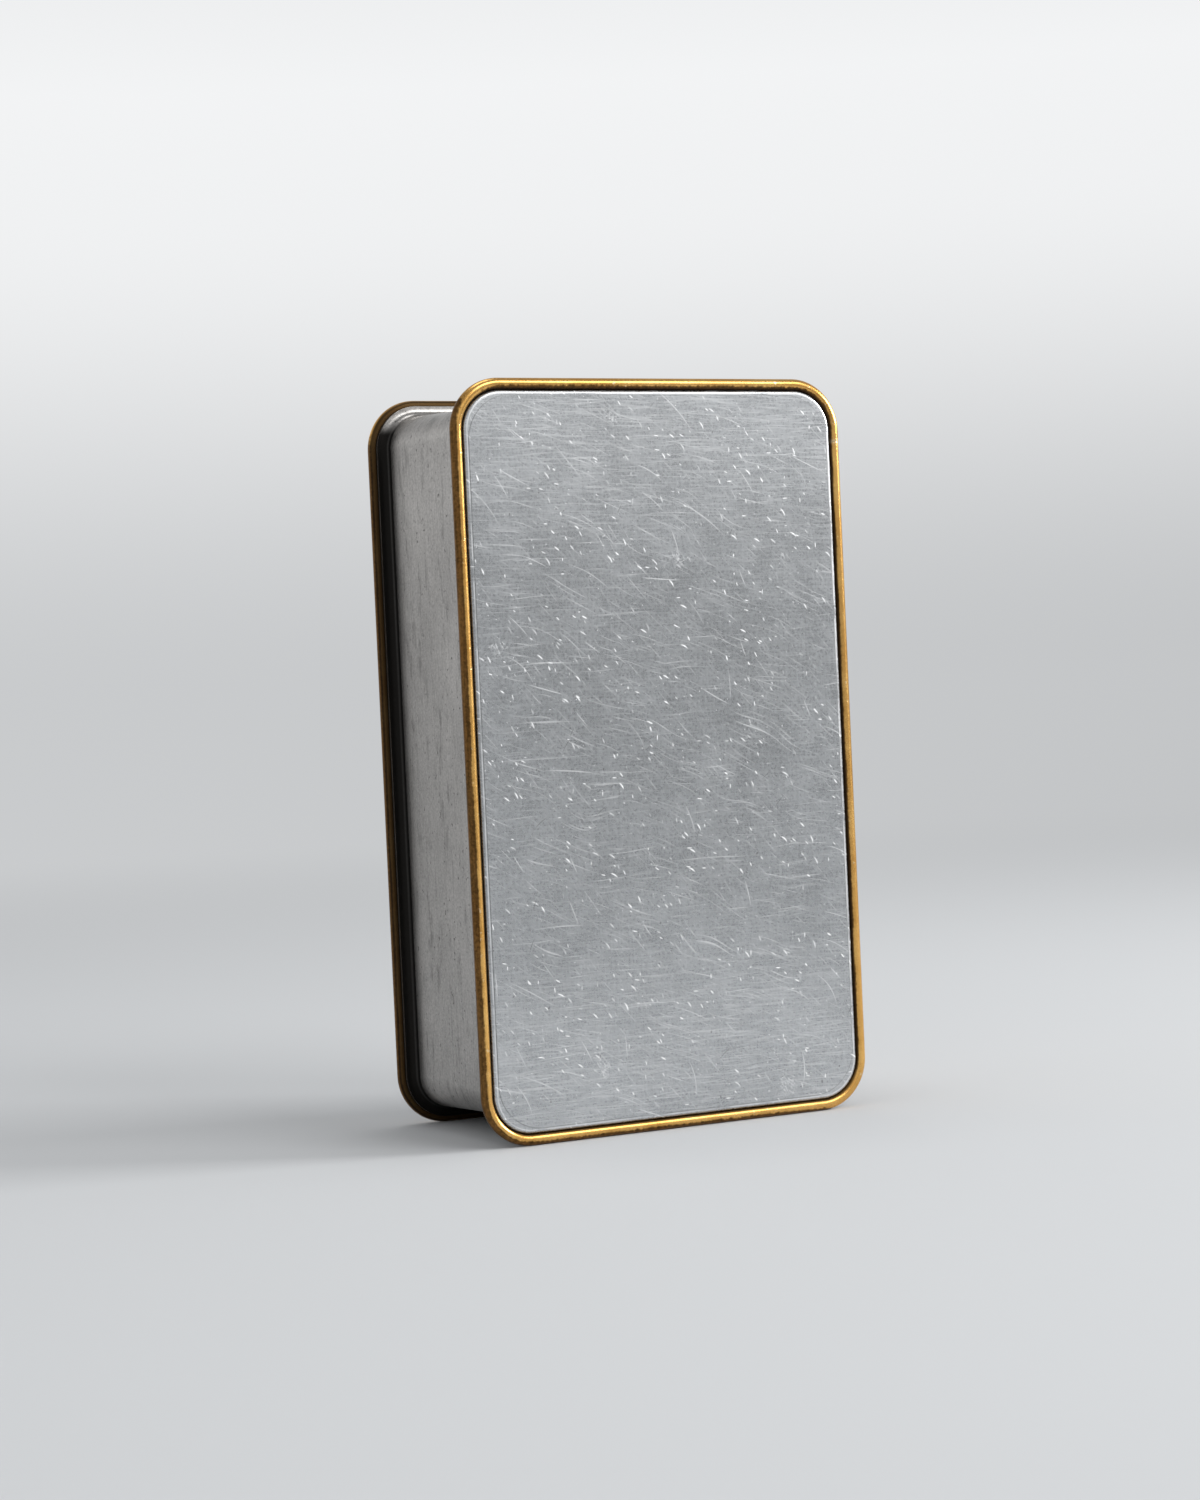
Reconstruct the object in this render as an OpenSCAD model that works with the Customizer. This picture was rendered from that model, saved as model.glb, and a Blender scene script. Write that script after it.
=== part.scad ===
// Card game tin with a hinged lid: tinplate bands and dished plates, edged with brass wire.
// Millimetres. The pieces are drawn with the tin lying on its base, then stood on one short end.
// In profiles, the first coordinate is the inset from the outer line of the brass wire, and the
// second is the height over the outer crest of the wire at that end.

/* [Tin] */
// Width over the brass wire
tin_w = 76.4; // [68:0.2:110]
// Length over the brass wire
tin_l = 132; // [120:1:190]
// Depth over the brass wire, base to lid
tin_depth = 39.5; // [34:0.5:60]
// Corner radius at the outer line of the brass wire
corner_r = 9.2; // [8.2:0.1:14]
// Thickness of the tinplate
sheet_t = 0.4; // [0.3:0.05:0.5]
// Draft of the long wall: it narrows from the base towards the lid
wall_draft = 2.7; // [0.5:0.1:3.5]

/* [Wire edges] */
// Diameter of the brass wire
wire_d = 2.1; // [1.8:0.05:2.6]
// Depth of the flat on the wire where it is soldered to the plate's flange
wire_flat = 0.1; // [0.05:0.05:0.3]

/* [Flared lips] */
// Inset of the lip's edge from the outer line of the wire
lip_inset = 1.15; // [0.9:0.05:1.4]
// Flat stretch of the lip before it turns into the cove
lip_flat = 0.45; // [0.2:0.05:0.8]
// Radius of the cove between the base lip and the wall
cove_r = 1.5; // [1:0.1:2.2]

/* [Dished plates] */
// Gap between the wire and the side of the dished panel
plate_gap = 0.05; // [0.05:0.05:0.3]
// How far the panel lies below the crest of the wire
panel_sink = 0.05; // [0.05:0.05:0.4]
// Outer radius of the panel's shoulder
shoulder_r = 0.6; // [0.55:0.05:0.9]
// Width of the ledge between the shoulder and the line that the die pressed
ledge_w = 0.25; // [0.1:0.05:0.6]
// How far the panel's face stands out over the ledge
die_step = 0.06; // [0.04:0.01:0.12]
// How much rounder the pressed line's corners are than the ledge's
die_round = 1.8; // [0.5:0.1:3]

/* [Lid] */
// Depth of the lid, from the crest of its wire to the parting line
lid_depth = 8.8; // [8:0.2:11]
// Gap at the parting line
parting_gap = 0.1; // [0.05:0.05:0.3]

/* [Collar] */
// Thickness of the collar in the mouth of the body
collar_t = 0.4; // [0.3:0.05:0.6]
// Length of the collar that is soldered inside the body
collar_seat = 5; // [3:0.5:10]
// Length of the collar that stands out of the mouth
collar_proud = 3; // [1.5:0.1:3.4]
// Clearance between the collar and the lid's band
collar_fit = 0.15; // [0.1:0.05:0.3]
// Chamfer on the collar's free edge, which leads the lid's band over it
collar_lead = 0.2; // [0.05:0.05:0.25]

/* [Hinge] */
// Length of the hinge along the side
hinge_l = 99; // [60:1:100]
// Number of knuckles, an odd number, shared between the body and the lid
knuckles = 7; // [3:2:9]
// Clearance between the barrel and the tin's side
barrel_clear = 0.15; // [0.1:0.05:0.3]
// Diameter of the hinge pin
pin_d = 1.7; // [1.4:0.05:2]
// Radial clearance of the pin in its knuckles
pin_fit = 0.05; // [0.02:0.01:0.1]
// Gap between neighbouring knuckles
knuckle_gap = 0.15; // [0.1:0.05:0.4]
// Thickness of the sheet of the hinge, which is rolled into its knuckles
leaf_t = 0.6; // [0.4:0.05:0.7]
// Slit between the edge of a rolled knuckle and the face of its leaf
curl_gap = 0.1; // [0.05:0.05:0.3]
// Corner radius of the hinge leaves
leaf_corner_r = 1.2; // [0.3:0.1:2]
// Reach of the body leaf from the hinge axis
body_leaf_w = 6; // [4:0.1:6.5]
// Distance from the lid leaf's edge to the start of the lid's cove
lid_leaf_margin = 0.2; // [0.1:0.05:0.6]
// Clearance between a leaf and the other side's knuckles
leaf_relief = 0.25; // [0.15:0.05:0.4]
// Diameter of the pin's peened heads
pin_head_d = 2.5; // [2.2:0.1:2.8]
// Height of the pin's peened heads
pin_head_h = 0.5; // [0.3:0.1:0.8]

/* [Hidden] */
$fn = 64;

tin_grey = [0.62, 0.63, 0.64];
brass = [0.78, 0.58, 0.26];
wire_r = wire_d / 2;

// Heights of the stack at each end: the wire sits on the plate's flange, which sits on the lip
seat_z = wire_d - wire_flat;
lip_z = seat_z + sheet_t;
bend_z = lip_z + sheet_t;
bend_a = lip_inset + lip_flat;

// Inset and height at which the cove runs into the drafted wall, on its outer and inner face
wall_a = bend_a + cove_r * cos(wall_draft);
wall_z = bend_z + cove_r * (1 - sin(wall_draft));
inner_r = cove_r + sheet_t;
inner_a = bend_a + inner_r * cos(wall_draft);
inner_z = bend_z + cove_r - inner_r * sin(wall_draft);

// The mouth of the body, and the outer inset of the wall there
mouth_z = tin_depth - lid_depth;
function wall_inset(z) = wall_a + (z - wall_z) * tan(wall_draft);
function wall_inset_inside(z) = inner_a + (z - inner_z) * tan(wall_draft);
mouth_a = wall_inset(mouth_z);

// The lid's band: a wider cove that ends flush with the mouth, then a straight stretch
lid_cove_r = mouth_a - bend_a;
lid_band_z = bend_z + lid_cove_r;

// Insets of the dished panel's side, of its shoulder's end and of the pressed line
side_a = wire_d + plate_gap;
shoulder_a = side_a + shoulder_r;
die_a = shoulder_a + ledge_w;
ledge_z = panel_sink + die_step;

// The collar is set in by its fit where it stands out of the mouth
collar_a = mouth_a + sheet_t + collar_fit;

// The hinge axis runs along the right side, at the height of the parting line
bore_r = pin_d / 2 + pin_fit;
barrel_r = bore_r + leaf_t;
axis_off = barrel_r + barrel_clear;
axis_x = tin_w / 2 - mouth_a + axis_off;
pitch = hinge_l / knuckles;
lid_leaf_w = lid_depth - lid_band_z - lid_leaf_margin;

// Sweeps a profile round the tin. Straight sides and quarter turns share their end faces.
module swept() {
    for (k = [0:3]) {
        half_x = (k % 2 == 0 ? tin_w : tin_l) / 2 - corner_r;
        half_y = (k % 2 == 0 ? tin_l : tin_w) / 2 - corner_r;
        rotate([0, 0, 90 * k])
            translate([half_x, half_y, 0]) {
                rotate_extrude(angle = 90) from_corner() children();
                rotate([90, 0, 0]) linear_extrude(2 * half_y) from_corner() children();
            }
    }
}

// Turns an inset from the wire's outer line into a distance from the corner's centre
module from_corner() {
    translate([corner_r, 0]) mirror([1, 0]) children();
}

// The lid's pieces are drawn as the base's are, then turned over onto the top
module on_top() {
    translate([0, 0, tin_depth]) mirror([0, 0, 1]) children();
}

// Stands the lying tin on one short end, centred over the origin, with its lid to the front
module stood() {
    translate([0, tin_depth / 2, tin_l / 2]) rotate([90, 0, 0]) children();
}

// A quarter or less of a bent sheet: the part of a ring from straight down round by an angle
module bend(r_in, r_out, angle) {
    intersection() {
        difference() {
            circle(r_out);
            circle(r_in);
        }
        polygon([[0, 0], [0, -2 * r_out], [2 * r_out, -2 * r_out],
            [2 * r_out * sin(angle), -2 * r_out * cos(angle)]]);
    }
}

// Sheet profile of a lip that turns up through a cove
module lip_and_cove(radius, turn) {
    translate([lip_inset, lip_z]) square([lip_flat, sheet_t]);
    translate([bend_a, bend_z + radius]) bend(radius, radius + sheet_t, turn);
}

module wall_profile() {
    lip_and_cove(cove_r, 90 - wall_draft);
    polygon([[wall_a, wall_z], [mouth_a, mouth_z],
        [wall_inset_inside(mouth_z), mouth_z], [inner_a, inner_z]]);
}

module lid_band_profile() {
    lip_and_cove(lid_cove_r, 90);
    translate([mouth_a, lid_band_z]) square([sheet_t, lid_depth - parting_gap - lid_band_z]);
}

// Flange, side and rounded shoulder of a dished plate
module plate_profile() {
    translate([lip_inset, seat_z]) square([side_a + sheet_t - lip_inset, sheet_t]);
    translate([side_a, ledge_z + shoulder_r])
        square([sheet_t, seat_z - ledge_z - shoulder_r]);
    translate([shoulder_a, ledge_z + shoulder_r])
        mirror([1, 0]) bend(shoulder_r - sheet_t, shoulder_r, 90);
}

module wire_profile() {
    intersection() {
        translate([wire_r, wire_r]) circle(wire_r);
        square([wire_d, seat_z]);
    }
}

// Joggled strip: its seat follows the drafted wall, and its free part is set in by the fit
module collar_profile() {
    low_z = mouth_z - collar_seat;
    low_a = wall_inset_inside(low_z);
    seat_a = wall_inset_inside(mouth_z);
    top_z = mouth_z + collar_proud;
    polygon([[low_a, low_z], [seat_a, mouth_z - collar_fit], [collar_a, mouth_z],
        [collar_a, top_z - collar_lead], [collar_a + collar_lead, top_z],
        [collar_a + collar_t, top_z], [collar_a + collar_t, mouth_z - collar_fit],
        [low_a + collar_t, low_z]]);
}

// Outline of the tin drawn in by an inset, with corners that may be rounder than its own
module outline(inset, rounder = 0) {
    size = [tin_w - 2 * inset, tin_l - 2 * inset];
    r = corner_r - inset + rounder;
    square([size.x, size.y - 2 * r], center = true);
    square([size.x - 2 * r, size.y], center = true);
    for (x = [-1, 1], y = [-1, 1])
        translate([x * (size.x / 2 - r), y * (size.y / 2 - r)]) circle(r);
}

// A tinplate plate, pressed so that its panel stands nearly flush with the wire. Within the
// line that the die pressed, the panel's face stands a little further out than the ledge.
module dished_plate() {
    swept() plate_profile();
    translate([0, 0, ledge_z]) linear_extrude(sheet_t) difference() {
        outline(shoulder_a);
        outline(die_a + die_step, die_round);
    }
    translate([0, 0, panel_sink]) linear_extrude(sheet_t) outline(die_a, die_round);
}

// Knuckles with an even index belong to the body, the others to the lid
module knuckle(k) {
    translate([0, -hinge_l / 2 + k * pitch + knuckle_gap / 2, 0])
        rotate([-90, 0, 0]) children();
}

// Outline of a leaf that starts at its straight edge and has two rounded corners
module leaf_outline(length, reach) {
    r = min(leaf_corner_r, reach / 2);
    square([length, reach - r]);
    translate([r, 0]) square([length - 2 * r, reach]);
    for (x = [r, length - r])
        translate([x, reach - r]) circle(r);
}

// The wedge between the face of a leaf and the edge of the sheet that curls round from it
module curl_slit(seat) {
    face_x = leaf_t - seat;
    end_angle = acos((-face_x - curl_gap) / barrel_r);
    polygon([[0, 0], [face_x, 0], [face_x, face_x * tan(end_angle)]]);
}

// One side of the hinge, on its axis: a leaf that reaches up by leaf_w, and its rolled knuckles
module hinge_side(first, leaf_w, seat) {
    knuckle_l = pitch - knuckle_gap;
    own = [first:2:knuckles - 1];
    relief = barrel_r + leaf_relief;
    difference() {
        union() {
            translate([-seat, -hinge_l / 2 + knuckle_gap / 2, relief]) rotate([90, 0, 90])
                linear_extrude(leaf_t) leaf_outline(hinge_l - knuckle_gap, leaf_w - relief);
            for (k = own) {
                knuckle(k) cylinder(h = knuckle_l, r = barrel_r);
                knuckle(k) translate([-seat, -relief, 0]) cube([leaf_t, relief, knuckle_l]);
            }
        }
        for (k = own)
            knuckle(k) translate([0, 0, -knuckle_gap])
                linear_extrude(knuckle_l + 2 * knuckle_gap) {
                    circle(bore_r);
                    curl_slit(seat);
                }
    }
}

module on_axis() {
    translate([axis_x, 0, mouth_z]) children();
}

module body_wall() color(tin_grey) stood() swept() wall_profile();

module base_plate() color(tin_grey) stood() dished_plate();

module base_wire() color(brass) stood() swept() wire_profile();

module mouth_collar() color(tin_grey) stood() swept() collar_profile();

module lid_band() color(tin_grey) stood() on_top() swept() lid_band_profile();

module lid_plate() color(tin_grey) stood() on_top() dished_plate();

module lid_wire() color(brass) stood() on_top() swept() wire_profile();

// The body leaf leans with the wall's draft, so that it lies flat on the side
module body_leaf() color(brass) stood() on_axis()
    mirror([0, 0, 1]) rotate([0, wall_draft, 0])
        hinge_side(0, body_leaf_w, axis_off * cos(wall_draft));

module lid_leaf() color(brass) stood() on_axis() hinge_side(1, lid_leaf_w, axis_off);

// A plain pin, peened over at both ends
module hinge_pin() color(brass) stood() on_axis() rotate([90, 0, 0]) {
    cylinder(h = hinge_l, r = pin_d / 2, center = true);
    for (side = [0, 1])
        mirror([0, 0, side]) translate([0, 0, hinge_l / 2]) pin_head();
}

module pin_head() {
    cylinder(h = pin_head_h / 2, d = pin_head_d);
    translate([0, 0, pin_head_h / 2])
        cylinder(h = pin_head_h / 2, d1 = pin_head_d, d2 = pin_d);
}

body_wall();
base_plate();
base_wire();
mouth_collar();
lid_band();
lid_plate();
lid_wire();
body_leaf();
lid_leaf();
hinge_pin();
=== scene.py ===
"""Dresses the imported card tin: worn tinplate, brass wire, a brass hinge, and a pale studio."""
import math

import bmesh
import bpy
from mathutils import Matrix, Vector


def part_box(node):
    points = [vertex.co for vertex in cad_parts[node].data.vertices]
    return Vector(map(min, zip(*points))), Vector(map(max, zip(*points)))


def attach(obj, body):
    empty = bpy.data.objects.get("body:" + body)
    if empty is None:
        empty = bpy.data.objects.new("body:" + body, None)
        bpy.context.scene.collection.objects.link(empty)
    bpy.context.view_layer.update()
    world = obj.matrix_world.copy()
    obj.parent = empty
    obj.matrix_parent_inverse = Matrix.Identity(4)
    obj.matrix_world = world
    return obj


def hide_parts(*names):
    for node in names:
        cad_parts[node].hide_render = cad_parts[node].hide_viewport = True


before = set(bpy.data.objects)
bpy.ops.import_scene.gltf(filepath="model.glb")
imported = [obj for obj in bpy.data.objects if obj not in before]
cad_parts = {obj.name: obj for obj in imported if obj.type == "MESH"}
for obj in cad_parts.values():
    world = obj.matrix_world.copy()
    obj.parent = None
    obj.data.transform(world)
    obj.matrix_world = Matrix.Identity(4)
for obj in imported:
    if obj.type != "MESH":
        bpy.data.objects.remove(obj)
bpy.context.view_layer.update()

MM = 0.001

# ---- Sizes of the tin, in millimetres ------------------------------------------------------
# Insets are measured from the outer line of the brass wire, and heights from its crest at that
# end of the tin, so one profile serves the lid's side and the base's side.


def span(node, axis):
    """How far a node reaches along an axis, in millimetres."""
    low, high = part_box(node)
    return (high[axis] - low[axis]) / MM


def middle(node, axis):
    """Where the middle of a node lies on an axis, in millimetres."""
    low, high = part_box(node)
    return (high[axis] + low[axis]) / 2 / MM


TIN_W = span("base_wire", 0)
TIN_L = span("base_wire", 2)
TIN_D = (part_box("base_wire")[1][1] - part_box("lid_wire")[0][1]) / MM
SEAT_Z = span("base_wire", 1)
CORNER_R = 9.2
SHEET_T = 0.4
DRAFT = math.radians(2.7)
WIRE_R = 1.05
LIP_INSET = 1.15
LIP_FLAT = 0.45
COVE_R = 1.5
PANEL_SINK = 0.05
PLATE_GAP = 0.05
SHOULDER_R = 0.6
LEDGE_W = 0.25
DIE_STEP = 0.06
DIE_ROUND = 1.8
LID_DEPTH = 8.8
PARTING_GAP = 0.1
COLLAR_SEAT = 5
COLLAR_PROUD = 3
COLLAR_FIT = 0.15
COLLAR_LEAD = 0.2
DEBURR = 0.06

# Each wire's ends meet on its right run, at this height.
JOINT_Z = 120.7
RIGHT_RUN_X = 32

HINGE_X = middle("hinge_pin", 0)
HINGE_Y = middle("hinge_pin", 1)
HINGE_L = span("body_leaf", 2)
KNUCKLES = 7
KNUCKLE_GAP = 0.15
BARREL_R = 1.5

LIP_Z = SEAT_Z + SHEET_T
BEND_Z = LIP_Z + SHEET_T
BEND_A = LIP_INSET + LIP_FLAT
INNER_R = COVE_R + SHEET_T
WALL_A = BEND_A + COVE_R * math.cos(DRAFT)
WALL_Z = BEND_Z + COVE_R * (1 - math.sin(DRAFT))
INNER_A = BEND_A + INNER_R * math.cos(DRAFT)
INNER_Z = BEND_Z + COVE_R - INNER_R * math.sin(DRAFT)
MOUTH_Z = TIN_D - LID_DEPTH
MOUTH_A = WALL_A + (MOUTH_Z - WALL_Z) * math.tan(DRAFT)
LID_COVE_R = MOUTH_A - BEND_A
LID_RIM_Z = LID_DEPTH - PARTING_GAP
SIDE_A = 2 * WIRE_R + PLATE_GAP
SHOULDER_A = SIDE_A + SHOULDER_R
DIE_A = SHOULDER_A + LEDGE_W
LEDGE_Z = PANEL_SINK + DIE_STEP
COLLAR_A = MOUTH_A + SHEET_T + COLLAR_FIT

CORNER_STEPS = 24
WIRE_STEPS = 30
WIRE_RING_PITCH = 1.5
SOFT_BEND = 32
WIRE_SOFT_BEND = 50


def wall_inside(height):
    """Inset of the drafted wall's inner face at a height."""
    return INNER_A + (height - INNER_Z) * math.tan(DRAFT)


# ---- Bench work ----------------------------------------------------------------------------
# The tin lies on the bench with the end in hand at height 0, in millimetres: X across it, Y
# along it and Z up. A finished piece is stood on its short end and shrunk to metres.


class Profile:
    """A line drawn on the bench where a long side meets a corner: insets and heights."""

    def __init__(self, name, inset, height):
        bpy.ops.object.select_all(action="DESELECT")
        bpy.ops.mesh.primitive_plane_add(size=1)
        self.piece = bpy.context.object
        self.piece.name = name
        self.piece.data.name = name
        bpy.ops.object.mode_set(mode="EDIT")
        bpy.ops.mesh.select_mode(type="VERT")
        bpy.ops.mesh.select_all(action="SELECT")
        bpy.ops.mesh.merge(type="CENTER")
        self.start = self.point(inset, height)
        self.at = self.start
        bpy.ops.transform.translate(value=self.start)

    def point(self, inset, height):
        return Vector((TIN_W / 2 - inset, TIN_L / 2 - CORNER_R, height))

    def line(self, inset, height):
        target = self.point(inset, height)
        bpy.ops.mesh.extrude_vertices_move(TRANSFORM_OT_translate={"value": target - self.at})
        self.at = target
        return self

    def arc(self, inset, height, degrees, steps=10):
        """Turns about a centre; positive degrees lead from straight down towards the inside."""
        centre = self.point(inset, height)
        turn = math.radians(degrees)
        bpy.ops.mesh.spin(steps=steps, angle=turn, center=centre, axis=(0, -1, 0))
        self.at = centre + Matrix.Rotation(turn, 3, "Y") @ (self.at - centre)
        return self

    def close(self):
        shift = self.start - self.at
        bpy.ops.mesh.extrude_vertices_move(TRANSFORM_OT_translate={"value": shift})
        bpy.ops.mesh.select_all(action="SELECT")
        bpy.ops.mesh.remove_doubles(threshold=MM)
        return self

    def sweep(self, pitch=TIN_L):
        """Carries the line once round the tin, with rings about a pitch apart on the sides."""
        half_w = TIN_W / 2 - CORNER_R
        half_l = TIN_L / 2 - CORNER_R
        corners = [(half_w, half_l), (-half_w, half_l), (-half_w, -half_l), (half_w, -half_l)]
        runs = [(-2 * half_w, 0), (0, -2 * half_l), (2 * half_w, 0), (0, 2 * half_l)]
        bpy.ops.mesh.select_all(action="SELECT")
        for (x, y), run in zip(corners, runs):
            bpy.ops.mesh.spin(steps=CORNER_STEPS, angle=math.pi / 2, center=(x, y, 0),
                              axis=(0, 0, -1))
            count = max(1, round(Vector(run).length / pitch))
            step = (run[0] / count, run[1] / count, 0)
            for _ in range(count):
                bpy.ops.mesh.extrude_edges_move(TRANSFORM_OT_translate={"value": step})
        bpy.ops.mesh.select_all(action="SELECT")
        bpy.ops.mesh.remove_doubles(threshold=MM)
        bpy.ops.mesh.normals_make_consistent(inside=False)
        return self.piece


def pick_faces(test):
    """Selects the faces in edit mode whose middle passes a test, and nothing else."""
    bpy.ops.mesh.select_mode(type="FACE")
    bpy.ops.mesh.select_all(action="DESELECT")
    shape = bmesh.from_edit_mesh(bpy.context.object.data)
    for face in shape.faces:
        face.select_set(test(face.calc_center_median()))
    bmesh.update_edit_mesh(bpy.context.object.data)


def finish_shape(piece, smooth_below=SOFT_BEND):
    """Leaves edit mode with faces outwards, shaded round where the bends are soft."""
    bpy.ops.mesh.select_all(action="SELECT")
    bpy.ops.mesh.normals_make_consistent(inside=False)
    bpy.ops.object.mode_set(mode="OBJECT")
    bpy.ops.object.shade_smooth_by_angle(angle=math.radians(smooth_below))
    return piece


def stand(piece, end):
    """Stands a piece on its short end, the lid's side in front and the base's side behind."""
    side = 1 if end == "base" else -1
    piece.rotation_euler = (side * math.pi / 2, 0, 0)
    piece.location = Vector((0, side * TIN_D / 2, TIN_L / 2)) * MM
    piece.scale = (MM, MM, MM)
    bpy.ops.object.select_all(action="DESELECT")
    piece.select_set(True)
    bpy.context.view_layer.objects.active = piece
    bpy.ops.object.transform_apply(location=True, rotation=True, scale=True)
    return piece


def make_wire(name, end):
    """Round drawn wire with a narrow flat where it is soldered down on the plate's flange."""
    rise = SEAT_Z - WIRE_R
    half_flat = math.sqrt(WIRE_R ** 2 - rise ** 2)
    gap = math.degrees(math.atan2(half_flat, rise))
    line = Profile(name, WIRE_R - half_flat, SEAT_Z)
    line.arc(WIRE_R, WIRE_R, 360 - 2 * gap, steps=WIRE_STEPS)
    piece = line.close().sweep(pitch=WIRE_RING_PITCH)
    finish_shape(piece, WIRE_SOFT_BEND)
    return stand(piece, end)


def make_sheet_band(name, end, cove_r, turn, mouth_a, mouth_z):
    """A lip that turns up through a cove into a side, which ends at the mouth."""
    lean = math.radians(90 - turn)
    outer_r = cove_r + SHEET_T
    inner_a = BEND_A + outer_r * math.cos(lean)
    inner_z = BEND_Z + cove_r - outer_r * math.sin(lean)
    line = Profile(name, LIP_INSET, LIP_Z + DEBURR)
    line.line(LIP_INSET, BEND_Z - DEBURR)
    line.line(LIP_INSET + DEBURR, BEND_Z)
    line.line(BEND_A, BEND_Z)
    line.arc(BEND_A, BEND_Z + cove_r, turn)
    line.line(mouth_a, mouth_z - DEBURR)
    line.line(mouth_a + DEBURR, mouth_z)
    line.line(inner_a + (mouth_z - inner_z) * math.tan(lean), mouth_z)
    line.line(inner_a, inner_z)
    line.arc(BEND_A, BEND_Z + cove_r, -turn)
    line.line(LIP_INSET + DEBURR, LIP_Z)
    piece = line.close().sweep()
    finish_shape(piece)
    return stand(piece, end)


def make_collar():
    """The joggled strip in the mouth of the body."""
    low_z = MOUTH_Z - COLLAR_SEAT
    top_z = MOUTH_Z + COLLAR_PROUD
    low_a = wall_inside(low_z)
    line = Profile("mouth_collar_strip", low_a, low_z)
    line.line(wall_inside(MOUTH_Z), MOUTH_Z - COLLAR_FIT)
    line.line(COLLAR_A, MOUTH_Z)
    line.line(COLLAR_A, top_z - COLLAR_LEAD)
    line.line(COLLAR_A + COLLAR_LEAD, top_z)
    line.line(COLLAR_A + SHEET_T, top_z)
    line.line(COLLAR_A + SHEET_T, MOUTH_Z - COLLAR_FIT)
    line.line(low_a + SHEET_T, low_z)
    piece = line.close().sweep()
    finish_shape(piece)
    return stand(piece, "base")


def press_panel(inset, height):
    """Adds the panel inside the pressed line: a rounded plate, one die step out of the ledge."""
    width = TIN_W - 2 * inset
    length = TIN_L - 2 * inset
    bpy.ops.mesh.select_mode(type="VERT")
    bpy.ops.mesh.select_all(action="DESELECT")
    bpy.ops.mesh.primitive_plane_add(size=1, location=(0, 0, height))
    bpy.ops.transform.resize(value=(width, length, 1), center_override=(0, 0, height))
    bpy.ops.mesh.bevel(offset=CORNER_R - inset + DIE_ROUND, segments=CORNER_STEPS,
                       affect="VERTICES", profile=0.5)
    bpy.ops.mesh.select_mode(type="FACE")
    bpy.ops.mesh.extrude_region_move(TRANSFORM_OT_translate={"value": (0, 0, -DIE_STEP)})
    pick_faces(lambda at: abs(at.z - height) < MM and at.xy.length < 1)
    bpy.ops.mesh.delete(type="ONLY_FACE")


def join_ledge(height):
    """Fills the ledge between the shoulder's end and the pressed line."""
    bpy.ops.mesh.select_mode(type="EDGE")
    bpy.ops.mesh.select_all(action="DESELECT")
    shape = bmesh.from_edit_mesh(bpy.context.object.data)
    for edge in shape.edges:
        level = all(abs(v.co.z - height) < MM for v in edge.verts)
        edge.select_set(level and edge.is_boundary)
    bmesh.update_edit_mesh(bpy.context.object.data)
    bpy.ops.mesh.fill(use_beauty=True)


def make_plate(name, end):
    """A dished plate: flange, side, shoulder, ledge, and the panel inside the pressed line."""
    back_z = LEDGE_Z + SHEET_T
    line = Profile(name, SHOULDER_A, LEDGE_Z)
    line.arc(SHOULDER_A, LEDGE_Z + SHOULDER_R, -90)
    line.line(SIDE_A, SEAT_Z)
    line.line(LIP_INSET + DEBURR, SEAT_Z)
    line.line(LIP_INSET, SEAT_Z + DEBURR)
    line.line(LIP_INSET, LIP_Z - DEBURR)
    line.line(LIP_INSET + DEBURR, LIP_Z)
    line.line(SIDE_A + SHEET_T, LIP_Z)
    line.line(SIDE_A + SHEET_T, LEDGE_Z + SHOULDER_R)
    line.arc(SHOULDER_A, LEDGE_Z + SHOULDER_R, 90)
    piece = line.sweep()
    press_panel(DIE_A, LEDGE_Z)
    join_ledge(LEDGE_Z)
    press_panel(DIE_A + DIE_STEP, back_z)
    join_ledge(back_z)
    finish_shape(piece)
    return stand(piece, end)


# ---- Shader maths --------------------------------------------------------------------------


class Signal:
    """A socket that takes part in sums: each operator adds the Math node that works it out."""

    def __init__(self, nodes, socket):
        self.nodes = nodes
        self.socket = socket

    def __getitem__(self, name):
        """Another output of the same node."""
        return Signal(self.nodes, find_socket(self.socket.node.outputs, name))

    def __add__(self, other):
        return self.nodes.math("ADD", self, other)

    def __radd__(self, other):
        return self.nodes.math("ADD", other, self)

    def __sub__(self, other):
        return self.nodes.math("SUBTRACT", self, other)

    def __rsub__(self, other):
        return self.nodes.math("SUBTRACT", other, self)

    def __mul__(self, other):
        return self.nodes.math("MULTIPLY", self, other)

    def __rmul__(self, other):
        return self.nodes.math("MULTIPLY", other, self)

    def __truediv__(self, other):
        return self.nodes.math("DIVIDE", self, other)

    def __abs__(self):
        return self.nodes.math("ABSOLUTE", self)


def find_socket(sockets, name):
    """A socket by its identifier, or else by its name."""
    for socket in sockets:
        if socket.identifier == name:
            return socket
    return sockets[name]


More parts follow.
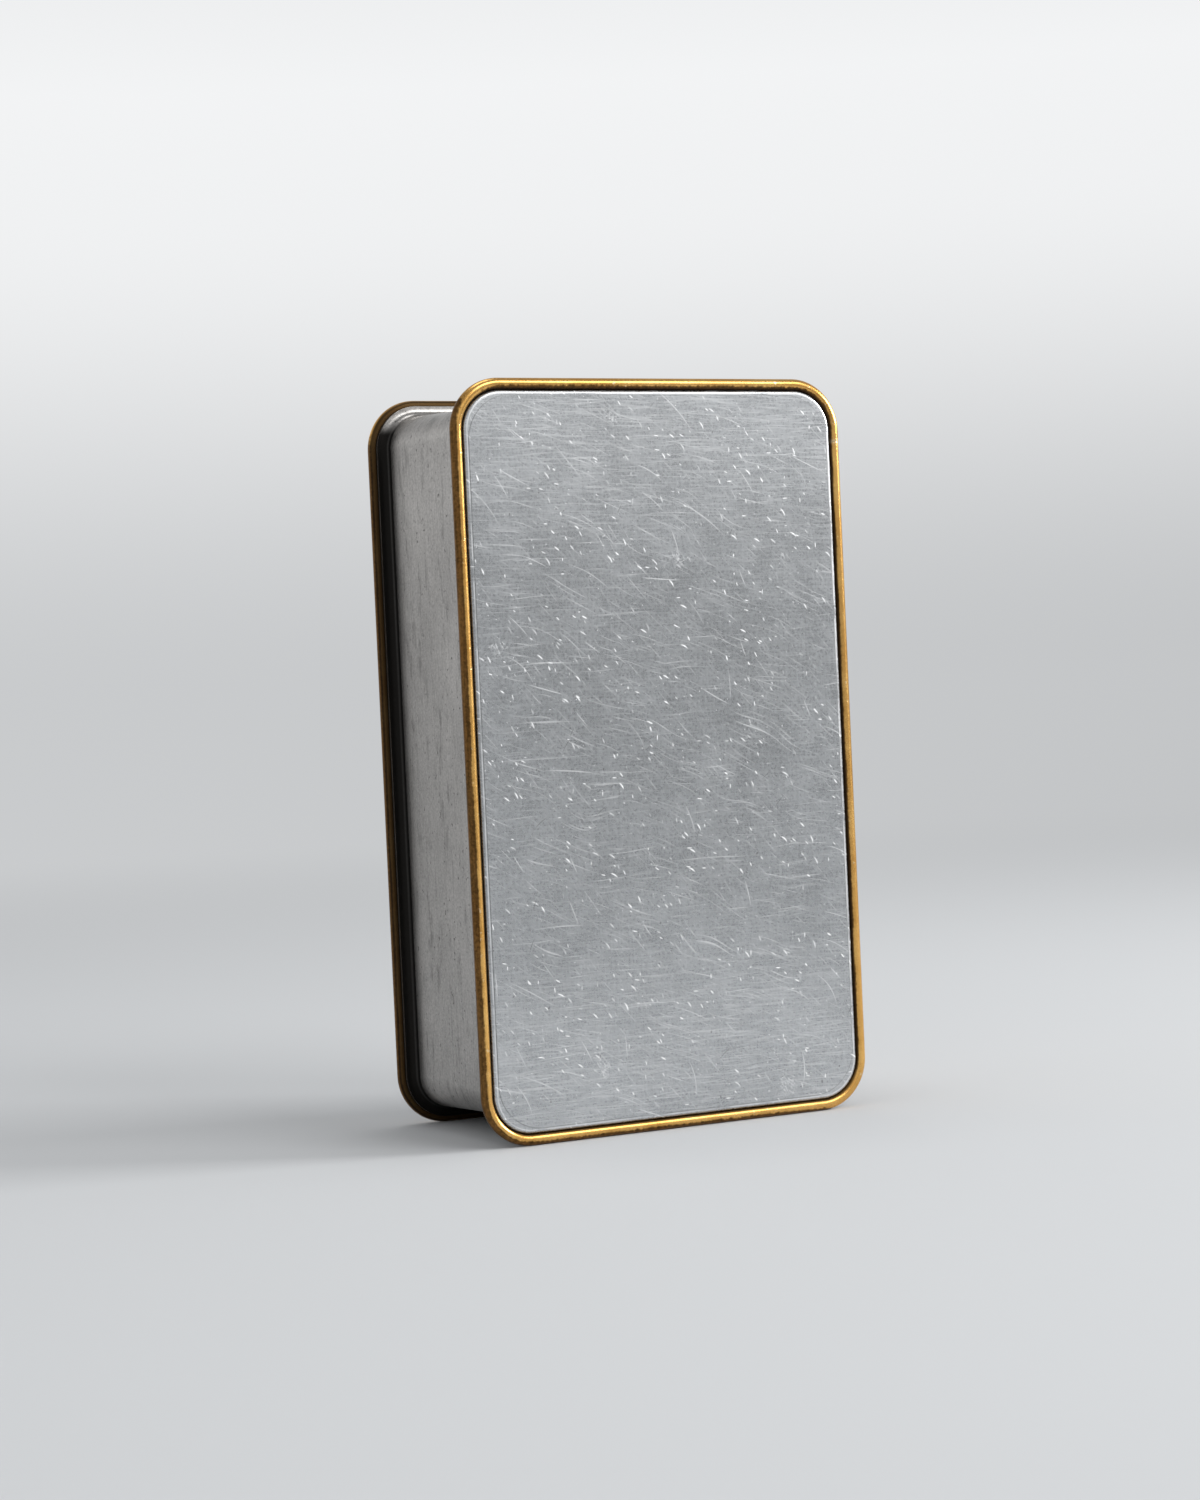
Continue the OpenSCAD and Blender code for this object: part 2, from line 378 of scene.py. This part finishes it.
class Nodes:
    """The node tree of a material or a world."""

    def __init__(self, tree):
        self.tree = tree

    def node(self, kind, settings=None, **sockets):
        """Adds a node, sets it up, then gives its sockets their values or links."""
        made = self.tree.nodes.new("ShaderNode" + kind)
        for name, value in (settings or {}).items():
            if name == "stops":
                set_stops(made.color_ramp, value)
            else:
                setattr(made, name, value)
        for name, value in sockets.items():
            self.feed(find_socket(made.inputs, name), value)
        return Signal(self, made.outputs[0])

    def feed(self, socket, value):
        """Links a signal to a socket, or sets the socket to a plain value."""
        if isinstance(value, Signal):
            self.tree.links.new(value.socket, socket)
        else:
            socket.default_value = value

    def math(self, operation, first, second=0.0):
        made = self.node("Math", {"operation": operation})
        self.feed(made.socket.node.inputs[0], first)
        self.feed(made.socket.node.inputs[1], second)
        return made

    def least(self, first, second):
        return self.math("MINIMUM", first, second)

    def most(self, first, second):
        return self.math("MAXIMUM", first, second)

    def ease(self, value, low, high):
        """Rises smoothly from 0 where value is low to 1 where it is high."""
        settings = {"interpolation_type": "SMOOTHSTEP"}
        return self.node("MapRange", settings, Value=value, **{"From Min": low, "From Max": high})

    def blend(self, factor, first, second):
        """A colour between two colours."""
        mixed = self.node("Mix", {"data_type": "RGBA"}, Factor_Float=factor,
                          A_Color=first, B_Color=second)
        return mixed["Result_Color"]

    def place(self):
        """Object coordinates in millimetres, one signal for each axis."""
        parts = self.node("SeparateXYZ", Vector=self.node("TexCoord")["Object"])
        return tuple(parts[axis] / MM for axis in "XYZ")

    def point(self, x, y, z=0.0):
        return self.node("CombineXYZ", X=x, Y=y, Z=z)

    def noise(self, point, scale, detail, roughness):
        return self.node("TexNoise", Vector=point, Scale=scale, Detail=detail,
                         Roughness=roughness)


def set_stops(ramp, stops):
    while len(ramp.elements) < len(stops):
        ramp.elements.new(0.5)
    for element, (position, colour) in zip(ramp.elements, stops):
        element.position = position
        element.color = colour


def grey(value, blue=0.0):
    """A linear colour close to neutral, a little bluer or warmer."""
    return (value * (1 - blue), value, value * (1 + blue), 1)


class Finish(Nodes):
    """A material with one metal shader."""

    def __init__(self, name):
        self.material = bpy.data.materials.new(name)
        self.material.use_nodes = True
        super().__init__(self.material.node_tree)
        self.shader = self.tree.nodes["Principled BSDF"]
        self.shader.inputs["Metallic"].default_value = 1

    def coat(self, colour, roughness, height, depth):
        """Feeds the shader: colour, roughness and a relief that is so many millimetres deep."""
        bump = self.node("Bump", Height=height, Distance=depth * MM, Strength=1.0)
        self.feed(self.shader.inputs["Base Color"], colour)
        self.feed(self.shader.inputs["Roughness"], roughness)
        self.feed(self.shader.inputs["Normal"], bump)
        return self.material


def marks(f, across, along, cell, width, length, lean, spread, share, bow=0.0, seed=0.0):
    """Scratches, at most one in each cell, as 0 to 1. They lie near one lean, in degrees."""
    spot = f.point(across + seed, along - seed)
    cells = f.node("TexVoronoi", {"voronoi_dimensions": "2D"}, Vector=spot, Scale=1 / cell)
    centre = f.node("SeparateXYZ", Vector=cells["Position"])
    luck = f.node("SeparateColor", Color=cells["Color"])
    turn = math.radians(lean) + (luck["Red"] - 0.5) * math.radians(spread)
    cosine = f.math("COSINE", turn)
    sine = f.math("SINE", turn)
    right = across + seed - centre["X"]
    up = along - seed - centre["Y"]
    run = right * cosine + up * sine
    off = (up * cosine - right * sine + run * run * ((luck["Green"] - 0.3) * bow)) / width
    run = run / (length * (0.4 + luck["Green"] * 0.6))
    taper = 1 - f.ease(off * off + run * run, 0.15, 1.0)
    return taper * f.ease(luck["Blue"], share, share * 0.35)


def hairs(f, across, along, lean, width, length, low, bend=0.0, seed=0.0):
    """Hair scratches that all run one way, as 0 to 1: the tops of a noise drawn out along them."""
    turn = math.radians(lean)
    run = across * math.cos(turn) + along * math.sin(turn)
    off = along * math.cos(turn) - across * math.sin(turn)
    if bend:
        off = off + f.noise(f.point(across, along, seed), 0.05, 1, 0.5) * bend
    drawn = f.noise(f.point(run / length, off / width, seed), 1, 2, 0.7)
    return f.ease(drawn, low, low + 0.13)


def inset_of(f, x, z, inset, corner):
    """Distance in from a rounded rectangle that lies an inset inside the wire's outer line."""
    out_x = abs(x) - (TIN_W / 2 - inset - corner)
    out_z = abs(z - TIN_L / 2) - (TIN_L / 2 - inset - corner)
    far_x = f.most(out_x, 0)
    far_z = f.most(out_z, 0)
    beyond = f.math("SQRT", far_x * far_x + far_z * far_z)
    return corner - beyond - f.least(f.most(out_x, out_z), 0)


# ---- Finishes ------------------------------------------------------------------------------
# The rear plate takes its marks from another stretch of the pattern than the lid's plate does.
REAR_SHIFT = 157


def plate_finish():
    """Soft grey tinplate, brushed across, scratched and nicked, with a pressed line, painted shade
    in the groove, a painted shoulder highlight and a painted sheen at the ends.
    """
    f = Finish("plate_tin")
    x, y, z = f.place()
    depth = TIN_D / 2 - abs(y)
    outside = 1 - f.ease(depth, 0.2, 0.45)
    rim = inset_of(f, x, z, SHOULDER_A, CORNER_R - SHOULDER_A)
    die = inset_of(f, x, z, DIE_A, CORNER_R - DIE_A + DIE_ROUND)
    x = x + f.ease(y, -1, 1) * REAR_SHIFT
    cloud = f.noise(f.point(x, z), 0.045, 4, 0.6)
    patches = f.noise(f.point(x, z, 7), 0.16, 3, 0.6)
    across = f.noise(f.point(x * 0.14, z * 3.3), 1, 3, 0.65)
    upright = f.noise(f.point(x * 3.1, z * 0.14, 3), 1, 3, 0.65)
    grain = f.noise(f.point(x, z, 11), 1.9, 3, 0.7)
    # Towards the top and bottom ends the plate carries more brushing, and its tone is raised there
    # as a painted sheen.
    ends = f.ease(abs(z - TIN_L / 2), 22, 62)
    clumps = f.ease(f.noise(f.point(x, z, 31), 0.09, 2, 0.5), 0.36, 0.54)
    dashes = f.most(marks(f, x, z, 3.9, 0.17, 1.0, -50, 50, 0.78, bow=0.35, seed=3),
                    marks(f, x, z, 2.8, 0.13, 0.65, -46, 100, 0.68, seed=41)) * clumps * 0.9
    dots = marks(f, x, z, 2.3, 0.12, 0.18, -50, 180, 0.36, seed=61)
    arcs = f.most(marks(f, x, z, 19, 0.13, 8.5, -26, 50, 0.95, bow=0.04, seed=17),
                  marks(f, x, z, 12, 0.11, 4.5, -55, 70, 0.9, bow=0.1, seed=71))
    long = f.most(hairs(f, x, z, -22, 0.34, 15, 0.585, bend=9, seed=12),
                  hairs(f, x, z, -50, 0.34, 9, 0.61, bend=7, seed=15))
    long = f.most(long, hairs(f, x, z, 1, 0.34, 16, 0.6, bend=3, seed=18))
    brush = f.most(hairs(f, x, z, -2, 0.36, 12, 0.52), hairs(f, x, z, 4, 0.3, 9, 0.54, seed=8))
    web = f.most(hairs(f, x, z, -38, 0.3, 4, 0.56), hairs(f, x, z, -64, 0.3, 3.4, 0.57, seed=4))
    web = f.most(web, hairs(f, x, z, 24, 0.3, 3.4, 0.6, seed=6))
    web = f.most(web, hairs(f, x, z, 78, 0.3, 3, 0.6, seed=10))
    ragged = f.noise(f.point(x, z, 53), 0.45, 3, 0.75) - 0.5
    scuffs = marks(f, x + ragged * 9, z - ragged * 7, 23, 1.9, 3.4, -40, 160, 0.75, seed=29)
    scuffs = scuffs * f.ease(web * 0.6 + grain, 0.42, 0.95)
    specks = f.most(marks(f, x, z, 7, 0.2, 0.42, 62, 70, 0.24, seed=97),
                    marks(f, x, z, 11, 0.11, 1.9, 56, 40, 0.3, bow=0.1, seed=113) * 0.8)
    # The bright line along the plate's shoulder is a little wear, but mostly a painted highlight
    # where the curve catches the light.
    rim_wear_and_highlight = (1 - f.ease(abs(rim), 0.02, 0.22)) * f.ease(patches, 0.3, 0.55)
    pressed = (1 - f.ease(abs(die), 0.03, 0.12)) * f.ease(patches, 0.3, 0.5)
    # The plate's side next to the wire is painted near-black: painted shade in the groove.
    groove = f.ease(depth, 0.52, 1.0)
    bright = f.most(dashes, f.most(f.most(arcs * 0.45, long * 0.38), dots * 0.65)) * outside
    faint = f.most(brush * (0.05 + ends * 0.17), web * (0.06 + f.ease(patches, 0.3, 0.7) * 0.1))
    bright = f.most(bright, f.most(f.most(faint, scuffs * 0.5), rim_wear_and_highlight * 0.45))
    dark = f.most(f.most(specks * 0.6, pressed * 0.4), groove)
    # The ends term in the tone is a painted sheen, lighter towards the top and bottom.
    tone = (0.54 + (cloud - 0.5) * 0.9 + (patches - 0.5) * 0.4 + (grain - 0.5) * 1.1
            + (across - 0.5) * 0.65 + (upright - 0.5) * 0.65 + ends * 0.3)
    base = f.blend(tone, grey(0.31, 0.025), grey(0.53, 0.025))
    base = f.blend(bright, base, grey(1.0))
    # The near-black blend takes the dark specks, the darker pressed line and the painted groove
    # shade.
    base = f.blend(dark, base, (0.03, 0.028, 0.025, 1))
    rough = (0.28 + (patches - 0.5) * 0.05 + (across - 0.5) * 0.06 + (grain - 0.5) * 0.15
             + bright * 0.2 + dark * 0.3)
    f.feed(f.shader.inputs["Metallic"], 1 - bright * 0.85 - dark * 0.3)
    relief = across * 0.2 + upright * 0.2 + grain * 0.5
    return f.coat(base, rough, relief, 0.006)


def wall_finish():
    """The bands: brushed along the strip, spotted with pits, with painted shade in the cove and a
    lighter painted reflection along it.
    """
    f = Finish("wall_tin")
    x, y, z = f.place()
    streaks = f.noise(f.point(x * 0.03, y * 3.6, z * 0.03), 1, 4, 0.65)
    fine = f.noise(f.point(x * 0.12, y * 9, z * 0.12), 1, 2, 0.6)
    cloud = f.noise(f.point(x, y, z), 0.06, 4, 0.6)
    grain = f.noise(f.point(x, y, z), 2.2, 2, 0.7)
    pits = f.ease(f.noise(f.point(x, y, z * 0.75), 1.35, 2, 0.5) + (cloud - 0.5) * 0.12, 0.67, 0.73)
    stain = f.ease(f.noise(f.point(x * 0.3, y * 0.55, z * 0.14), 1, 4, 0.7), 0.52, 0.72)
    tone = (0.5 + (streaks - 0.5) * 1.1 + (fine - 0.5) * 0.3 + (cloud - 0.5) * 1.1
            + (grain - 0.5) * 1.6)
    base = f.blend(tone, grey(0.27, -0.04), grey(0.52, -0.04))
    depth = TIN_D / 2 - abs(y)
    cove_r = COVE_R + f.ease(y, 1, -1) * (LID_COVE_R - COVE_R)
    rim = inset_of(f, x, z, 0, CORNER_R) - BEND_A
    rise = depth - BEND_Z - cove_r
    from_face = f.math("SQRT", rim * rim + rise * rise) - cove_r
    # The cove is painted near-black, fading out along the top run where it faces the light: painted
    # shade.
    cove = 1 - f.ease(depth, WALL_Z - 0.1, WALL_Z + 0.35 + (cloud - 0.5) * 0.8)
    cove = cove * (1 - f.ease(z, TIN_L - CORNER_R * 0.7, TIN_L - CORNER_R * 0.4))
    cove = cove * (1 - f.ease(from_face, 0.14, 0.24))
    # A line along the middle of the cove is left a little lighter: a painted reflection.
    streak = 1 - f.ease(abs(depth - WALL_Z + 0.75), 0.05, 0.25)
    cove_painted_shade = cove * (0.99 - streak * (0.02 + streaks * 0.1))
    dark = f.most(f.most(pits * 0.7, stain * 0.36), cove_painted_shade)
    base = f.blend(dark, base, (0.012, 0.011, 0.01, 1))
    rough = 0.3 + (streaks - 0.5) * 0.2 + (cloud - 0.5) * 0.1 + dark * 0.2
    return f.coat(base, rough, streaks * 0.6 + fine * 0.3 + grain * 0.3 - pits * 0.5, 0.006)


def inner_finish():
    """Bright tinplate that the lid has polished."""
    f = Finish("inner_tin")
    x, y, z = f.place()
    streaks = f.noise(f.point(x * 0.04, y * 5, z * 0.04), 1, 3, 0.6)
    cloud = f.noise(f.point(x, y, z), 0.1, 3, 0.6)
    rubs = f.ease(f.noise(f.point(x * 0.5, y * 0.3, z * 0.5), 1, 2, 0.6), 0.5, 0.7)
    base = f.blend(0.5 + (streaks - 0.5) + (cloud - 0.5), grey(0.55, 0.0), grey(0.74, 0.0))
    rough = 0.24 + (streaks - 0.5) * 0.14 + rubs * 0.1
    return f.coat(base, rough, streaks, 0.004)


def wire_finish():
    """Drawn brass, with painted light on the sides facing up and right and painted shade facing
    down and left, broken by patchy wear and browning.
    """
    f = Finish("wire_brass")
    x, y, z = f.place()
    depth = TIN_D / 2 - abs(y)
    far_x = f.most(abs(x) - (TIN_W / 2 - CORNER_R), 0)
    far_z = f.most(abs(z - TIN_L / 2) - (TIN_L / 2 - CORNER_R), 0)
    beyond = f.math("SQRT", far_x * far_x + far_z * far_z)
    rim = CORNER_R - beyond
    # How far the wire's skin faces right and up, from 1 to -1.
    outward = (1 - rim / WIRE_R) / beyond
    sideways = outward * far_x * f.math("SIGN", x)
    upward = outward * far_z * f.math("SIGN", z - TIN_L / 2)
    drawn = f.noise(f.point(x * 0.02, y * 8, z * 0.02), 1, 2, 0.6)
    cloud = f.noise(f.point(x, y, z), 0.11, 4, 0.65)
    spots = f.noise(f.point(x, y, z), 1.9, 4, 0.75)
    flow = f.noise(f.point(x * 1.6, y * 1.6, z * 0.12), 1, 3, 0.6)
    # The wire is painted brighter where its skin faces up and to the right, on the right run and on
    # the rear wire, and browner where it faces down and to the left: painted light and shade,
    # broken up by patchy wear and browning.
    rubbed_and_lit = (sideways * 0.75 + upward * 0.6 + f.ease(y, 0, 5) * 0.35 + f.ease(x, 20, 36) * 0.25
              + (cloud - 0.5) * 0.3 + (spots - 0.5) * 0.3 + (flow - 0.5) * 0.4)
    browned_and_shaded = 1 - f.ease(rubbed_and_lit, -0.32, -0.05)
    # A dark line is painted along the edge between the bright and brown sides: painted shade.
    painted_dark_line = 1 - f.ease(abs(rubbed_and_lit + 0.24), 0.02, 0.14)
    # The back of the wire and its flank inside the groove are painted near-black: painted shade.
    in_groove = f.ease(rim, WIRE_R * 0.9, WIRE_R * 1.2)
    wire_groove_shade = f.most(f.ease(depth + in_groove * 0.8, 1.25, 1.75), f.ease(rim, 1.5, 1.9) * 0.9)
    from_joint = abs(z - JOINT_Z) + f.ease(x, RIGHT_RUN_X + 2, RIGHT_RUN_X - 2) * TIN_L
    joint = 1 - f.ease(from_joint, 0.04, 0.14)
    filed = 1 - f.ease(from_joint + spots * 1.6, 0.8, 1.5)
    tint = cloud * 0.7 + spots * 0.3
    gold = f.blend(f.ease(tint, 0.25, 0.75), (0.62, 0.31, 0.07, 1), (0.9, 0.55, 0.18, 1))
    brown = f.blend(f.ease(spots * 0.6 + flow * 0.4, 0.36, 0.64),
                    (0.03, 0.015, 0.006, 1), (0.2, 0.095, 0.03, 1))
    nicks = f.ease(f.noise(f.point(x, y, z), 0.9, 2, 0.5), 0.66, 0.74) * (1 - browned_and_shaded)
    base = f.blend(browned_and_shaded * 0.92, gold, brown)
    base = f.blend(painted_dark_line * 0.45, base, (0.05, 0.025, 0.01, 1))
    base = f.blend(f.most(nicks * 0.5, filed * 0.5), base, (0.97, 0.82, 0.55, 1))
    base = f.blend(f.most(wire_groove_shade * 0.93, joint * 0.45), base, (0.02, 0.012, 0.008, 1))
    rough = 0.25 + browned_and_shaded * 0.1 + (drawn - 0.5) * 0.16 + (spots - 0.5) * 0.1 + wire_groove_shade * 0.2
    return f.coat(base, rough, drawn * 0.5 + spots * 0.5 - nicks - joint, 0.012)


def hinge_finish():
    """Satin rolled brass, worn bright along the barrel, with painted shade between knuckles, at the
    barrel's root and round the leaves.
    """
    f = Finish("hinge_brass")
    x, y, z = f.place()
    rolled = f.noise(f.point(x * 2, y * 3, z * 0.06), 1, 3, 0.6)
    cloud = f.noise(f.point(x, y, z), 0.2, 4, 0.6)
    spots = f.noise(f.point(x, y, z), 1.9, 3, 0.7)
    pitch = (HINGE_L + KNUCKLE_GAP) / KNUCKLES
    along = z - TIN_L / 2
    from_gap = (0.5 - abs(f.math("FRACT", along / pitch + 0.5) - 0.5)) * pitch
    off_x = x - HINGE_X
    off_y = y - HINGE_Y
    radius = f.math("SQRT", off_x * off_x + off_y * off_y)
    barrel = 1 - f.ease(radius, BARREL_R + 0.05, BARREL_R + 0.3)
    # gaps, root and edge paint the hinge near-black between the knuckles, where the barrel meets
    # the leaves and round the leaves' edges: painted shade.
    gaps = barrel * (1 - f.ease(from_gap, 0.1, 0.75))
    root = 1 - f.ease(abs(radius - BARREL_R - 0.35), 0.15, 0.6)
    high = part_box("body_leaf")[1][1] / MM
    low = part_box("lid_leaf")[0][1] / MM
    border = f.least(f.least(high - y, y - low), HINGE_L / 2 - abs(along))
    edge = 1 - f.ease(border + (cloud - 0.5) * 1.2, 0.1, 1.1)
    painted_hinge_shade = f.most(f.most(gaps, root * 0.85), edge * 0.75) * (0.75 + (spots - 0.5) * 0.6)
    crest = f.ease(off_x, BARREL_R * 0.5, BARREL_R * 0.95)
    base = f.blend(0.5 + (rolled - 0.5) * 0.8 + (cloud - 0.5) * 1.4, (0.42, 0.23, 0.06, 1),
                   (0.72, 0.46, 0.16, 1))
    base = f.blend(f.ease(cloud * 0.6 + spots * 0.4, 0.46, 0.64) * 0.5, base,
                   (0.14, 0.07, 0.025, 1))
    base = f.blend(crest * 0.45, base, (0.92, 0.68, 0.32, 1))
    base = f.blend(painted_hinge_shade, base, (0.025, 0.014, 0.007, 1))
    rough = 0.3 + (rolled - 0.5) * 0.18 + (spots - 0.5) * 0.16 + painted_hinge_shade * 0.2 - crest * 0.06
    return f.coat(base, rough, rolled * 0.6 + spots * 0.4, 0.006)


def pin_finish():
    """Polished brass with turning marks."""
    f = Finish("pin_brass")
    x, y, z = f.place()
    turned = f.noise(f.point(x * 0.1, y * 0.1, z * 6), 1, 2, 0.5)
    base = f.blend(turned, (0.66, 0.43, 0.15, 1), (0.84, 0.60, 0.26, 1))
    return f.coat(base, 0.18 + (turned - 0.5) * 0.1, turned, 0.003)


# ---- Studio --------------------------------------------------------------------------------
# The camera's angles are in radians. The floor's size and fade, and the lamps, are in metres.
CAMERA_PLACE = Vector((-238.8, -478.9, 78.9)) * MM
CAMERA_YAW = math.radians(26.18)
CAMERA_PITCH = 0.022533
CAMERA_ROLL = 0.045758
FOCAL_PX = 2945.9
FRAME_LONG_PX = 1500
SENSOR_MM = 36
CLIP_START = 0.01
FLOOR_SIZE = 12
FADE_START = 0.2
FADE_END = 1.05


def make_camera():
    """The photograph's view: turned towards +X, tipped a little down and rolled."""
    data = bpy.data.cameras.new("camera")
    data.sensor_width = SENSOR_MM
    data.lens = FOCAL_PX * SENSOR_MM / FRAME_LONG_PX
    data.clip_start = CLIP_START
    camera = bpy.data.objects.new("camera", data)
    bpy.context.scene.collection.objects.link(camera)
    turn = Matrix.Rotation(-CAMERA_YAW, 3, "Z")
    tip = Matrix.Rotation(math.pi / 2 - CAMERA_PITCH, 3, "X")
    roll = Matrix.Rotation(-CAMERA_ROLL, 3, "Z")
    camera.rotation_euler = (turn @ tip @ roll).to_euler()
    camera.location = CAMERA_PLACE
    bpy.context.scene.camera = camera


def horizon(n, heading):
    """The backdrop's grey at eye level, for a heading from -1 in front of the tin to 1 behind."""
    stops = [(0.0, grey(0.34, 0.02)), (0.3, grey(0.36, 0.02)), (0.7, grey(0.5, 0.02)),
             (1.0, grey(0.6, 0.02))]
    return n.node("ValToRGB", {"stops": stops}, Fac=heading * 0.5 + 0.5)


def make_world():
    """Soft light all round, brightest a little above the horizon."""
    world = bpy.data.worlds.new("studio")
    world.use_nodes = True
    bpy.context.scene.world = world
    w = Nodes(world.node_tree)
    heading = w.node("SeparateXYZ", Vector=w.node("TexCoord")["Generated"])
    stops = [(0.0, grey(0.8, 0.01)), (0.2, grey(0.9, 0.01)), (0.5, grey(0.55, 0.01)),
             (1.0, grey(0.36, 0.01))]
    above = w.node("ValToRGB", {"stops": stops}, Fac=heading["Z"])
    sky = w.blend(w.ease(heading["Z"], 0.0, 0.16), horizon(w, heading["Y"]), above)
    w.feed(world.node_tree.nodes["Background"].inputs["Color"], sky)


def make_floor():
    """A pale floor that fades into the backdrop's grey."""
    bpy.ops.object.select_all(action="DESELECT")
    bpy.ops.mesh.primitive_plane_add(size=FLOOR_SIZE)
    floor = bpy.context.object
    floor.name = "floor"
    material = bpy.data.materials.new("floor")
    material.use_nodes = True
    f = Nodes(material.node_tree)
    paint = material.node_tree.nodes["Principled BSDF"]
    paint.inputs["Roughness"].default_value = 0.9
    paint.inputs["Specular IOR Level"].default_value = 0.2
    paint.inputs["Base Color"].default_value = grey(0.64, 0.02)
    spot = f.node("SeparateXYZ", Vector=f.node("TexCoord")["Object"])
    away = f.math("SQRT", spot["X"] * spot["X"] + spot["Y"] * spot["Y"])
    far = f.node("Emission", Color=horizon(f, spot["Y"] / away), Strength=1.0)
    mixed = f.node("MixShader", Fac=f.ease(away, FADE_START, FADE_END))
    mixer = mixed.socket.node
    f.tree.links.new(paint.outputs[0], mixer.inputs[1])
    f.tree.links.new(far.socket, mixer.inputs[2])
    f.tree.links.new(mixed.socket, f.tree.nodes["Material Output"].inputs["Surface"])
    floor.data.materials.append(material)


def make_lamp(name, place, size, glow):
    """A soft box of an even glow, turned to the tin and unseen by the camera."""
    data = bpy.data.lights.new(name, "AREA")
    data.shape = "RECTANGLE"
    data.size, data.size_y = size
    data.energy = glow * math.pi * size[0] * size[1]
    lamp = bpy.data.objects.new(name, data)
    bpy.context.scene.collection.objects.link(lamp)
    lamp.location = place
    target = Vector((0, 0, TIN_L / 2 * MM))
    lamp.rotation_euler = (target - Vector(place)).to_track_quat("-Z", "Y").to_euler()
    lamp.visible_camera = False


bpy.context.scene.view_settings.view_transform = "Standard"
make_camera()
make_world()
make_floor()
make_lamp("key_box", (1.15, -0.5, 0.48), (0.5, 0.35), 24)
make_lamp("top_box", (0.0, 0.1, 0.95), (0.35, 0.35), 3)
make_lamp("front_box", (0.46, -0.95, 0.85), (0.7, 0.5), 4.5)

# ---- The tin -------------------------------------------------------------------------------
PLATE = plate_finish()
WALL = wall_finish()
INNER = inner_finish()
WIRE = wire_finish()
HINGE = hinge_finish()
PIN = pin_finish()


def dress(piece, material, node, body):
    """Gives a modelled piece its finish and puts it in its node's place."""
    piece.data.materials.clear()
    piece.data.materials.append(material)
    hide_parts(node)
    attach(piece, body)


dress(make_wire("front_wire", "lid"), WIRE, "lid_wire", "lid")
dress(make_wire("rear_wire", "base"), WIRE, "base_wire", "tin")
dress(make_plate("front_plate", "lid"), PLATE, "lid_plate", "lid")
dress(make_plate("rear_plate", "base"), PLATE, "base_plate", "tin")
dress(make_sheet_band("body_band", "base", COVE_R, 90 - math.degrees(DRAFT), MOUTH_A, MOUTH_Z),
      WALL, "body_wall", "tin")
dress(make_sheet_band("lid_rim", "lid", LID_COVE_R, 90, MOUTH_A, LID_RIM_Z),
      WALL, "lid_band", "lid")
dress(make_collar(), INNER, "mouth_collar", "tin")
for node_name, metal in {"body_leaf": HINGE, "lid_leaf": HINGE, "hinge_pin": PIN}.items():
    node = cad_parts[node_name]
    node.data.materials.clear()
    node.data.materials.append(metal)
